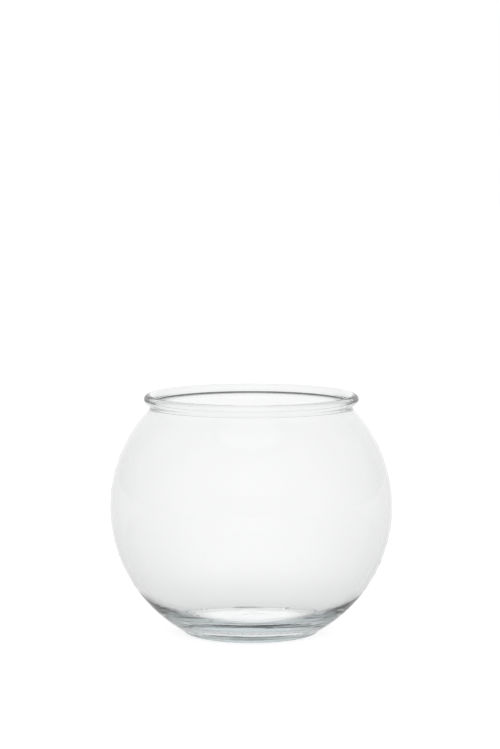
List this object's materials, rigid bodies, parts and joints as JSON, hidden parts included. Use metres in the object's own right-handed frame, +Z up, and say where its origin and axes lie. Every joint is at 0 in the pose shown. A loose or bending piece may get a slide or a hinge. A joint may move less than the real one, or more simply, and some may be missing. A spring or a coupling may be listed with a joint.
{
  "type": "fishbowl vase",
  "caption": "Clear glass globe vase with a wide beaded mouth, a thick heavy bottom and a low knurled foot, for flowers, water or fish.",
  "frame": {"origin": "on the table, at the middle of the bearing ring under the foot", "axes": "+Z up along the axis of the globe, X and Y free because the vase is round; the pictured side faces -Y"},
  "size_m": [0.1498, 0.1498, 0.1268],
  "materials": {
    "glass": "clear fire-polished soda-lime glass, faintly aqua where it is thick"
  },
  "bodies": {
    "root": {"glass_bowl": "glass"}
  },
  "joints": []
}
